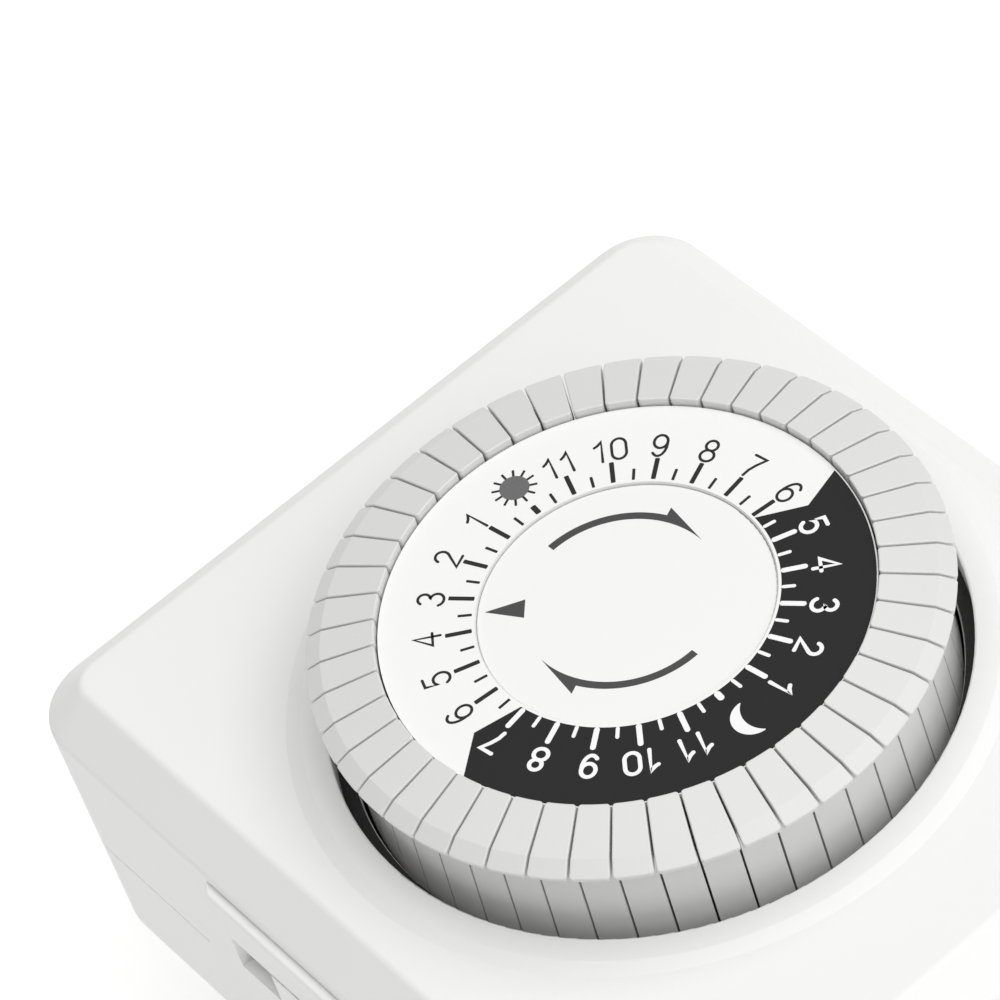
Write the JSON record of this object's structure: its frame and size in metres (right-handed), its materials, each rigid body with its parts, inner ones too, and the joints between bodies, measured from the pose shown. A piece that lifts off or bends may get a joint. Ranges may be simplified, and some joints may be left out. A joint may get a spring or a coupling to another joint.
{
  "type": "plug-in segment timer",
  "caption": "Mechanical 24-hour plug-in outlet timer: a round dial ringed by press-down tappets turns on a white case with plug blades behind and an outlet in one side.",
  "frame": {"origin": "the dial axis where it meets the flat rear face", "axes": "+Z out of the dial along its axis, +X along the long side of the case towards the outlet, +Y along the short side away from the override switch"},
  "size_m": [0.0853, 0.0736, 0.0604],
  "materials": {
    "housing_plastic": "fine satin",
    "cap_plastic": "smooth",
    "label_print": "printed",
    "tappet_plastic": "satin",
    "slider_plastic": "satin",
    "drum_plastic": "satin",
    "gear_plastic": "natural acetal",
    "plate_plastic": "moulded",
    "steel": "bright",
    "motor_steel": "zinc plated",
    "coil_copper": "enamelled wire",
    "brass": "bright"
  },
  "bodies": {
    "case": {"front_housing": "housing_plastic", "rear_housing": "housing_plastic", "switch_surround": "housing_plastic", "outlet_block": "housing_plastic", "line_contact": "brass", "neutral_contact": "brass", "ground_contact": "brass", "line_blade": "brass", "neutral_blade": "brass", "ground_pin": "brass", "line_bus": "brass", "load_bus": "brass", "neutral_strap": "brass", "ground_strap": "brass", "motor_can": "motor_steel", "motor_coil": "coil_copper", "gear_plate": "plate_plastic", "dial_post": "steel", "gear_arbors": "steel", "centre_cap": "cap_plastic", "follower_pin": "steel", "follower_spring": "steel", "plate_screws": "steel", "housing_screws": "steel"},
    "dial": {"dial_drum": "drum_plastic", "dial_label": "label_print", "dial_gear": "gear_plastic", "tappet_retainer": "drum_plastic"},
    "middle_gear": {"middle_gear": "gear_plastic"},
    "first_gear": {"first_gear": "gear_plastic"},
    "motor_pinion": {"motor_pinion": "steel"},
    "follower": {"follower_lever": "gear_plastic"},
    "contact_leaf": {"contact_leaf": "brass", "leaf_rivet": "brass"},
    "slider": {"override_slider": "slider_plastic"},
    "tappets_12h": {"tappets_12h": "tappet_plastic"},
    "tappets_13h": {"tappets_13h": "tappet_plastic"},
    "tappets_14h": {"tappets_14h": "tappet_plastic"},
    "tappets_15h": {"tappets_15h": "tappet_plastic"},
    "tappets_16h": {"tappets_16h": "tappet_plastic"},
    "tappets_17h": {"tappets_17h": "tappet_plastic"},
    "tappets_18h": {"tappets_18h": "tappet_plastic"},
    "tappets_19h": {"tappets_19h": "tappet_plastic"},
    "tappets_20h": {"tappets_20h": "tappet_plastic"},
    "tappets_21h": {"tappets_21h": "tappet_plastic"},
    "tappets_22h": {"tappets_22h": "tappet_plastic"},
    "tappets_23h": {"tappets_23h": "tappet_plastic"},
    "tappets_00h": {"tappets_00h": "tappet_plastic"},
    "tappets_01h": {"tappets_01h": "tappet_plastic"},
    "tappets_02h": {"tappets_02h": "tappet_plastic"},
    "tappets_03h": {"tappets_03h": "tappet_plastic"},
    "tappets_04h": {"tappets_04h": "tappet_plastic"},
    "tappets_05h": {"tappets_05h": "tappet_plastic"},
    "tappets_06h": {"tappets_06h": "tappet_plastic"},
    "tappets_07h": {"tappets_07h": "tappet_plastic"},
    "tappets_08h": {"tappets_08h": "tappet_plastic"},
    "tappets_09h": {"tappets_09h": "tappet_plastic"},
    "tappets_10h": {"tappets_10h": "tappet_plastic"},
    "tappets_11h": {"tappets_11h": "tappet_plastic"}
  },
  "joints": [
    {"name": "dial_spin", "type": "hinge", "parent": "case", "child": "dial", "pos_m": [0, 0, 0.03], "axis": [0, 0, 1], "continuous": true},
    {"name": "middle_gear_spin", "type": "hinge", "parent": "case", "child": "middle_gear", "pos_m": [-0.00304, 0.01723, 0.02], "axis": [0, 0, 1], "continuous": true},
    {"name": "first_gear_spin", "type": "hinge", "parent": "case", "child": "first_gear", "pos_m": [-0.01541, 0.01905, 0.02], "axis": [0, 0, 1], "continuous": true},
    {"name": "motor_spin", "type": "hinge", "parent": "case", "child": "motor_pinion", "pos_m": [-0.02224, 0.01175, 0.02], "axis": [0, 0, 1], "continuous": true},
    {"name": "follower_tilt", "type": "hinge", "parent": "case", "child": "follower", "pos_m": [-0.00827, -0.00869, 0.0172], "axis": [0.7243, -0.6894, 0], "range_deg": [0, 13.7], "stiffness_Nm_per_rad": 0.0005, "deforming": ["follower_spring"]},
    {"name": "leaf_flex", "type": "hinge", "parent": "case", "child": "contact_leaf", "pos_m": [0, -0.0195, 0.0114], "axis": [0, -1, 0], "range_deg": [0, 3.6]},
    {"name": "override_slide", "type": "slide", "parent": "case", "child": "slider", "axis": [1, 0, 0], "range_m": [-0.0055, 0]},
    {"name": "tappet_12h_press", "type": "slide", "parent": "dial", "child": "tappets_12h", "axis": [0, 0, 1], "range_m": [-0.003, 0]},
    {"name": "tappet_13h_press", "type": "slide", "parent": "dial", "child": "tappets_13h", "axis": [0, 0, 1], "range_m": [-0.003, 0]},
    {"name": "tappet_14h_press", "type": "slide", "parent": "dial", "child": "tappets_14h", "axis": [0, 0, 1], "range_m": [-0.003, 0]},
    {"name": "tappet_15h_press", "type": "slide", "parent": "dial", "child": "tappets_15h", "axis": [0, 0, 1], "range_m": [-0.003, 0]},
    {"name": "tappet_16h_press", "type": "slide", "parent": "dial", "child": "tappets_16h", "axis": [0, 0, 1], "range_m": [-0.003, 0]},
    {"name": "tappet_17h_press", "type": "slide", "parent": "dial", "child": "tappets_17h", "axis": [0, 0, 1], "range_m": [-0.003, 0]},
    {"name": "tappet_18h_press", "type": "slide", "parent": "dial", "child": "tappets_18h", "axis": [0, 0, 1], "range_m": [-0.003, 0]},
    {"name": "tappet_19h_press", "type": "slide", "parent": "dial", "child": "tappets_19h", "axis": [0, 0, 1], "range_m": [-0.003, 0]},
    {"name": "tappet_20h_press", "type": "slide", "parent": "dial", "child": "tappets_20h", "axis": [0, 0, 1], "range_m": [-0.003, 0]},
    {"name": "tappet_21h_press", "type": "slide", "parent": "dial", "child": "tappets_21h", "axis": [0, 0, 1], "range_m": [-0.003, 0]},
    {"name": "tappet_22h_press", "type": "slide", "parent": "dial", "child": "tappets_22h", "axis": [0, 0, 1], "range_m": [-0.003, 0]},
    {"name": "tappet_23h_press", "type": "slide", "parent": "dial", "child": "tappets_23h", "axis": [0, 0, 1], "range_m": [-0.003, 0]},
    {"name": "tappet_00h_press", "type": "slide", "parent": "dial", "child": "tappets_00h", "axis": [0, 0, 1], "range_m": [-0.003, 0]},
    {"name": "tappet_01h_press", "type": "slide", "parent": "dial", "child": "tappets_01h", "axis": [0, 0, 1], "range_m": [-0.003, 0]},
    {"name": "tappet_02h_press", "type": "slide", "parent": "dial", "child": "tappets_02h", "axis": [0, 0, 1], "range_m": [-0.003, 0]},
    {"name": "tappet_03h_press", "type": "slide", "parent": "dial", "child": "tappets_03h", "axis": [0, 0, 1], "range_m": [-0.003, 0]},
    {"name": "tappet_04h_press", "type": "slide", "parent": "dial", "child": "tappets_04h", "axis": [0, 0, 1], "range_m": [-0.003, 0]},
    {"name": "tappet_05h_press", "type": "slide", "parent": "dial", "child": "tappets_05h", "axis": [0, 0, 1], "range_m": [-0.003, 0]},
    {"name": "tappet_06h_press", "type": "slide", "parent": "dial", "child": "tappets_06h", "axis": [0, 0, 1], "range_m": [-0.003, 0]},
    {"name": "tappet_07h_press", "type": "slide", "parent": "dial", "child": "tappets_07h", "axis": [0, 0, 1], "range_m": [-0.003, 0]},
    {"name": "tappet_08h_press", "type": "slide", "parent": "dial", "child": "tappets_08h", "axis": [0, 0, 1], "range_m": [-0.003, 0]},
    {"name": "tappet_09h_press", "type": "slide", "parent": "dial", "child": "tappets_09h", "axis": [0, 0, 1], "range_m": [-0.003, 0]},
    {"name": "tappet_10h_press", "type": "slide", "parent": "dial", "child": "tappets_10h", "axis": [0, 0, 1], "range_m": [-0.003, 0]},
    {"name": "tappet_11h_press", "type": "slide", "parent": "dial", "child": "tappets_11h", "axis": [0, 0, 1], "range_m": [-0.003, 0]}
  ],
  "couplings": [
    {"joint": "middle_gear_spin", "follows": "dial_spin", "ratio": -6},
    {"joint": "first_gear_spin", "follows": "dial_spin", "ratio": 24},
    {"joint": "motor_spin", "follows": "dial_spin", "ratio": -72},
    {"joint": "follower_tilt", "follows": "tappet_15h_press", "rad_per_m": -79},
    {"joint": "leaf_flex", "follows": "tappet_15h_press", "rad_per_m": -20.3}
  ]
}
